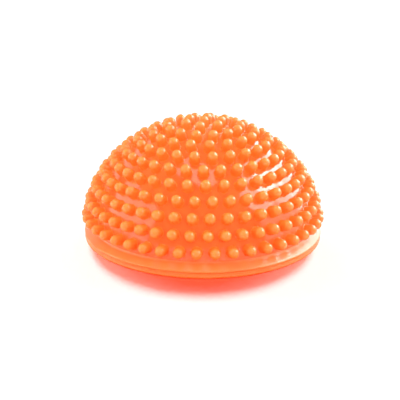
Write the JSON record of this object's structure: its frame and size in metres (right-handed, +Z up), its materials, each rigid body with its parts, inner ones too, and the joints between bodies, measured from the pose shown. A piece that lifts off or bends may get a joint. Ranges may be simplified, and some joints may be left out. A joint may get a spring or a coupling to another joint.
{
  "type": "spiky massage half ball",
  "caption": "Inflatable half-ball massage dome covered in rounded nubs, with a moulded rim, a flat recessed base and a push-in air plug.",
  "frame": {"origin": "centre of the rest plane, under the pole of the dome", "axes": "+Z up along the dome's axis; -Y towards the front, +X to its right"},
  "size_m": [0.1582, 0.1582, 0.0786],
  "materials": {
    "skin": "glossy translucent soft PVC",
    "nub": "satin translucent soft PVC",
    "valve": "satin soft PVC",
    "plug": "moulded, slightly worn"
  },
  "bodies": {
    "bladder": {"dome_skin": "skin", "rim_flange": "skin", "base_panel": "skin", "grip_ridges": "skin", "valve_body": "valve", "nub_ring_01": "nub", "nub_ring_02": "nub", "nub_ring_03": "nub", "nub_ring_04": "nub", "nub_ring_05": "nub", "nub_ring_06": "nub", "nub_ring_07": "nub", "nub_ring_08": "nub", "nub_ring_09": "nub", "nub_ring_10": "nub", "crown_nub": "nub"},
    "plug": {"valve_plug": "plug"}
  },
  "joints": [
    {"name": "plug_pull", "type": "slide", "parent": "bladder", "child": "plug", "axis": [0, 0, -1], "range_m": [0, 0.022]}
  ]
}
